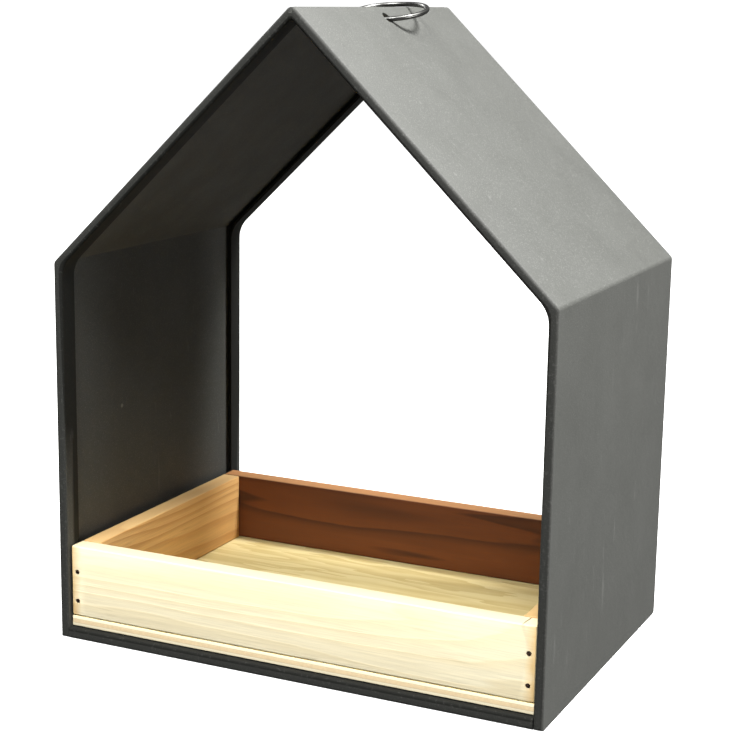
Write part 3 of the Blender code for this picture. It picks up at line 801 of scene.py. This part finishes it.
close_ends(house)
cutters = []
for side in (-1, 1):
    centre = Vector((side * HOLE_OFFSET, HINGE_DEPTH, HINGE_HEIGHT))
    out = Vector((side * math.sin(SLOPE), 0, math.cos(SLOPE))) * HOLE_REACH * MM
    cutters.append(rod(centre - out, centre + out, HOLE / 2, 40))
for side in (-1, 1):
    near, far = sorted((side * (HALF_DEPTH - NOTCH_DEPTH), side * (HALF_DEPTH + CLEAR)))
    notch = box_between(Vector((-NOTCH_HALF, near, shell_high.z - NOTCH_HEIGHT)),
                        Vector((NOTCH_HALF, far, shell_high.z + CLEAR)))
    cutters.append(as_mesh(notch, "notch"))
cutters.append(foot_offcut(-1, FRONT_FOOT_ROUND))
cutters.append(foot_offcut(1, BACK_FOOT_ROUND))
cut_away(house, cutters)
smooth_bends(house)
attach(house, "house")
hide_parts("house_shell")
print("house skin:", len(house.data.polygons), "faces")

# %% [markdown]
# ## Floor plate
# The plate is the same kind of strip on straight rails, which run from wall to wall and end just
# short of the hems of the walls. Its own hems face up, and the tray stands on them. Only the plate
# is made here: the two narrow flanges that join it to the walls are left out of the visible piece,
# so a slot stays open along the foot of each wall.

# %% Floor plate
tree, given = shape_tree("folded floor plate", [
    "Half width", "Half depth", "Sheet", "Rim", "Hem width", "Edge round", "Hem slot"])
sizes = given.outputs
floor_rails = []
for level in (0.0, sizes["Sheet"], sizes["Rim"]):
    minus = calc(tree, "MULTIPLY", sizes["Half width"], -1.0)
    floor_rails.append(corner_line(tree, [join(tree, x, z=level) for x in (minus, sizes["Half width"])]))
close_tree(tree, given, loft_strip(tree, floor_rails, sizes))
plate = grow("floor_skin", tree, {
    "Half width": FLOOR_HALF, "Half depth": HALF_DEPTH, "Sheet": SHEET, "Rim": FLOOR_RIM,
    "Hem width": FLOOR_HEM_WIDTH, "Edge round": EDGE_ROUND, "Hem slot": 7.0 * MM, "Finish": house_coat})
close_ends(plate)
cut_away(plate, [foot_offcut(1, BACK_FOOT_ROUND)])
smooth_bends(plate)
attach(plate, "house")
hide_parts("floor_plate")
print("floor plate:", len(plate.data.polygons), "faces")

# %% [markdown]
# ## Tray boards
# Each board is sawn to a box, but a sawn and sanded board is never quite a box: its edges are eased
# by hand and its faces wander by a tenth of a millimetre. A plain cube would look like plastic, so
# the box is cut into short lengths, its edges are rounded, and a slow noise moves every point a
# little inwards. The boards are nailed down hard on the panel, so they reach almost onto it. Brad
# heads sit in small dents, which are cut last.

# %% Board builder
BOARD_EASE = 0.55 * MM        # rounding of the boards' edges
PANEL_EASE = 0.22 * MM
BOARD_DROP = 0.22 * MM        # how far the boards reach down towards the panel
FACE_WANDER = 0.10 * MM       # how far a face may dip
CUT_LENGTH = 6 * MM
WAVES = 28                    # how fast the noise changes along a board, per metre


def sawn_board(name, node, along, finish, seed):
    """A board in its solid's box, with eased edges. along is 0 or 1, the axis of its length."""
    low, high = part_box(node)
    ease = PANEL_EASE
    if node != "tray_bottom_panel":
        low.z -= BOARD_DROP
        ease = BOARD_EASE
    bm = box_between(low, high)
    bmesh.ops.bevel(bm, geom=bm.edges[:], offset=ease, segments=3, profile=0.5, affect="EDGES")
    steps = int((high[along] - low[along]) / CUT_LENGTH)
    direction = Vector((1, 0, 0)) if along == 0 else Vector((0, 1, 0))
    for step in range(1, steps):
        cut = Vector(low) + direction * (high[along] - low[along]) * step / steps
        bmesh.ops.bisect_plane(bm, geom=bm.verts[:] + bm.edges[:] + bm.faces[:],
                               plane_co=cut, plane_no=direction, dist=1e-7)
    centre = (low + high) / 2
    for vert in bm.verts:
        offset = vert.co - centre
        for axis in range(3):
            if axis != along and abs(offset[axis]) > 1 * MM:
                side = math.copysign(2, offset[axis])
                spot = Vector((vert.co[along] * WAVES + seed * 7, seed + axis * 3.1, side))
                dip = (0.5 + 0.5 * noise.noise(spot)) * FACE_WANDER
                vert.co[axis] -= math.copysign(dip, offset[axis])
    bmesh.ops.recalc_face_normals(bm, faces=bm.faces)
    piece = bpy.data.objects.new(name, as_mesh(bm, name))
    piece.data.materials.append(finish)
    scene.collection.objects.link(piece)
    return piece


# %% Where the brads are, from the boxes of their solids
def brad_spot(node):
    """(head centre, direction of the point, length) of a brad, from its solid's box."""
    low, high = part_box(node)
    centre = (low + high) / 2
    length = max(high - low)
    if node.startswith("panel"):
        return Vector((centre.x, centre.y, low.z)), Vector((0, 0, 1)), length
    if "front" in node:
        return Vector((centre.x, low.y, centre.z)), Vector((0, 1, 0)), length
    return Vector((centre.x, high.y, centre.z)), Vector((0, -1, 0)), length


brads = {node: brad_spot(node) for node in sorted(frame["nodes"]) if "brad_" in node}
print("brads found:", len(brads))

# %% Boards with dents for the brad heads
DENT_RADIUS, DENT_FLOOR = 1.0 * MM, 0.85 * MM     # radius of a dent's cutter outside and inside
DENT_OUT, DENT_IN = 0.6, 0.9                      # how far the cutter reaches, in millimetres
boards = {
    "tray_front_board": ("front_board", 0, front_pine, 1.0),
    "tray_back_board": ("back_board", 0, back_pine, 2.3),
    "tray_left_board": ("left_board", 1, side_pine, 3.7),
    "tray_right_board": ("right_board", 1, side_pine, 5.1),
    "tray_bottom_panel": ("bottom_panel", 0, ply, 6.9),
}
made_boards = {}
for node, (name, along, finish, seed) in boards.items():
    piece = sawn_board(name, node, along, finish, seed)
    dents = []
    for brad, (head, direction, _) in brads.items():
        is_panel = node == "tray_bottom_panel" and brad.startswith("panel")
        is_end = not brad.startswith("panel") and node == f"tray_{brad.split('_')[1]}_board"
        if is_panel or is_end:
            dents.append(rod(head - direction * DENT_OUT * MM, head + direction * DENT_IN * MM,
                             DENT_RADIUS, 24, DENT_FLOOR))
    if dents:
        cut_away(piece, dents)
    made_boards[node] = piece

# %% [markdown]
# The front board has a short split at its right end, as a dry board gets when a brad is driven close
# to its end. A thin wedge is cut from the top edge.

# %% Split in the front board
SPLIT_AT = 86.7 * MM
SPLIT_LEAN = 0.6 * MM         # how far the split runs sideways through the board
SPLIT_WIDTH = 1.0 * MM
SPLIT_DEPTH = 2.2 * MM


def wedge(start, end, width, depth):
    """A thin wedge below the line from start to end, tapering to nothing at end."""
    bm = bmesh.new()
    top = Vector((0, 0, CLEAR))
    across = Vector((width / 2, 0, 0))
    points = [start - across + top, start + across + top, end + top, start - Vector((0, 0, depth)),
              end - Vector((0, 0, depth * 0.4))]
    verts = [bm.verts.new(p) for p in points]
    for trio in ((0, 1, 2), (0, 3, 1), (1, 3, 4), (1, 4, 2), (0, 2, 4), (0, 4, 3)):
        bm.faces.new([verts[k] for k in trio])
    bmesh.ops.recalc_face_normals(bm, faces=bm.faces)
    return as_mesh(bm, "wedge")


front_low, front_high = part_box("tray_front_board")
split_start = Vector((SPLIT_AT, front_high.y + CLEAR, front_high.z))
split_end = Vector((SPLIT_AT - SPLIT_LEAN, front_low.y - CLEAR, front_high.z))
cut_away(made_boards["tray_front_board"], [wedge(split_start, split_end, SPLIT_WIDTH, SPLIT_DEPTH)])
for node, piece in made_boards.items():
    smooth_bends(piece, 40)
    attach(piece, "tray")
    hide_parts(node)
print("boards:", {piece.name: len(piece.data.polygons) for piece in made_boards.values()})

# %% [markdown]
# ## Brads
# Sixteen brads hold the tray, all alike: a small domed head, a shank and a point. One brad is made
# from a turned profile and put on a cloud of points, each of which carries the direction to drive it
# in. Placing sixteen copies by hand would work too, but one tree keeps them alike.

# %% Brads as instances on points
def point_cloud(name, spots):
    """A mesh of loose points with a direction stored on each."""
    mesh = bpy.data.meshes.new(name)
    mesh.from_pydata([tuple(head) for head, _, _ in spots], [], [])
    aims = mesh.attributes.new("aim", "FLOAT_VECTOR", "POINT")
    for number, (_, direction, _) in enumerate(spots):
        aims.data[number].vector = direction
    return mesh


HEAD_START = 0.00001 * MM     # as good as on the axis
TIP_RADIUS = 0.05 * MM
LEAN = 0.03                   # how far a brad may be driven in askew, in radians
FULL_TURN = 6.28

tree, given = shape_tree(
    "brads", ["Shank radius", "Head radius", "Head height", "Length", "Point length"], ["Sides", "Seed"])
sizes = given.outputs
shoulder = calc(tree, "MULTIPLY", sizes["Head radius"], 0.9)
edge_level = calc(tree, "MULTIPLY", sizes["Head height"], 0.35)
point_start = calc(tree, "SUBTRACT", sizes["Length"], sizes["Point length"])
rows = [(HEAD_START, 0.0), (shoulder, 0.0), (sizes["Head radius"], edge_level),
        (sizes["Shank radius"], sizes["Head height"]), (sizes["Shank radius"], point_start),
        (TIP_RADIUS, sizes["Length"])]
profile = corner_line(tree, [join(tree, x, z=z) for x, z in rows])
grid = add_node(tree, "GeometryNodeMeshGrid", {"Vertices X": sizes["Sides"], "Vertices Y": len(rows)})
spoke, ring_number = row_and_step(tree, float(len(rows)))
spot = split(tree, place_at(tree, profile, ring_number))
share = calc(tree, "DIVIDE", spoke, calc(tree, "SUBTRACT", sizes["Sides"], 1.0))
angle = calc(tree, "MULTIPLY", share, 2 * math.pi)
turned = join(tree, calc(tree, "MULTIPLY", spot[0], calc(tree, "COSINE", angle)),
              calc(tree, "MULTIPLY", spot[0], calc(tree, "SINE", angle)), spot[2])
one_brad = shape_grid(tree, grid.outputs[0], turned, 0.001 * MM)
aim = add_node(tree, "GeometryNodeInputNamedAttribute", {"Name": "aim"}, data_type="FLOAT_VECTOR")
facing = add_node(tree, "FunctionNodeAlignRotationToVector", {"Vector": aim.outputs[0]}, axis="Z")
lean = add_node(tree, "FunctionNodeRandomValue", {
    0: (-LEAN, -LEAN, 0.0), 1: (LEAN, LEAN, FULL_TURN), "Seed": sizes["Seed"]}, data_type="FLOAT_VECTOR")
leaning = add_node(tree, "FunctionNodeRotateRotation", {
    "Rotation": facing.outputs[0], "Rotate By": lean.outputs[0]}, rotation_space="LOCAL")
driven = add_node(tree, "GeometryNodeInstanceOnPoints", {
    "Points": given.outputs["Geometry"], "Instance": one_brad, "Rotation": leaning.outputs[0]})
close_tree(tree, given, driven.outputs[0])
for name, prefix in (("end_brads", "brad_"), ("panel_brads", "panel_")):
    mine = [node for node in brads if node.startswith(prefix)]
    length = brads[mine[0]][2]
    spots = [brads[node] for node in mine]
    piece = grow(name, tree, {
        "Shank radius": 0.6 * MM, "Head radius": 0.78 * MM, "Head height": 0.5 * MM, "Length": length,
        "Point length": 1.2 * MM, "Sides": 17, "Seed": 4, "Finish": brad_metal}, point_cloud(name, spots))
    bm = bmesh.new()
    bm.from_mesh(piece.data)
    loops = [edge for edge in bm.edges if len(edge.link_faces) == 1]
    bmesh.ops.holes_fill(bm, edges=loops)
    bmesh.ops.recalc_face_normals(bm, faces=bm.faces)
    bm.to_mesh(piece.data)
    bm.free()
    smooth_bends(piece)
    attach(piece, "tray")
    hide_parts(*mine)
    print(name, "of", len(mine), "brads,", len(piece.data.polygons), "faces")

# %% [markdown]
# ## Wire ring
# The ring is one piece of wire bent round by hand: nearly a circle, a little flat in places, with its
# two ends butting under the roof. A torus would be too perfect and has no ends. An arc curve with a
# slow noise on its points, thickened with a round profile, gives the bent wire.

# %% Wire ring
RING_GAP = 0.8 * MM           # between the two ends of the wire
WOBBLE = 0.8 * MM

tree, given = shape_tree(
    "bent wire ring", ["Ring radius", "Wire radius", "Gap angle", "Wobble"], ["Steps", "Wire sides"])
sizes = given.outputs
sweep = calc(tree, "SUBTRACT", 2 * math.pi, sizes["Gap angle"])
start = calc(tree, "MULTIPLY_ADD", sizes["Gap angle"], 0.5, -math.pi / 2)
arc = add_node(tree, "GeometryNodeCurveArc", {
    "Resolution": sizes["Steps"], "Radius": sizes["Ring radius"],
    "Start Angle": start, "Sweep Angle": sweep}, mode="RADIUS")
place = tree.nodes.new("GeometryNodeInputPosition").outputs[0]
slow = add_node(tree, "ShaderNodeTexNoise", {"Vector": place, "Scale": 55.0, "Detail": 0.0})
centred = add_node(tree, "ShaderNodeVectorMath", {
    0: slow.outputs[1], 1: (0.5, 0.5, 0.5)}, operation="SUBTRACT")
shift = add_node(tree, "ShaderNodeVectorMath", {
    0: centred.outputs[0], "Scale": sizes["Wobble"]}, operation="SCALE")
bent = add_node(tree, "GeometryNodeSetPosition", {"Geometry": arc.outputs[0], "Offset": shift.outputs[0]})
round_wire = add_node(tree, "GeometryNodeCurvePrimitiveCircle", {
    "Resolution": sizes["Wire sides"], "Radius": sizes["Wire radius"]})
thick = add_node(tree, "GeometryNodeCurveToMesh", {
    "Curve": bent.outputs[0], "Profile Curve": round_wire.outputs[0], "Fill Caps": True})
close_tree(tree, given, thick.outputs[0])
ring = grow("wire_ring", tree, {
    "Ring radius": RING_RADIUS, "Wire radius": WIRE / 2, "Gap angle": RING_GAP / RING_RADIUS,
    "Wobble": WOBBLE, "Steps": 120, "Wire sides": 20, "Finish": ring_metal})
reach = math.sqrt(RING_RADIUS ** 2 - HOLE_OFFSET ** 2)     # from the hinge to the ring's middle
hinge = Matrix.Translation((0, HINGE_DEPTH, HINGE_HEIGHT))
ring.data.transform(hinge @ Matrix.Rotation(REST_ANGLE, 4, "X") @ Matrix.Translation((0, reach, 0)))
smooth_bends(ring, 40)
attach(ring, "hanger")
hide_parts("hanger_ring")
print("ring faces:", len(ring.data.polygons))
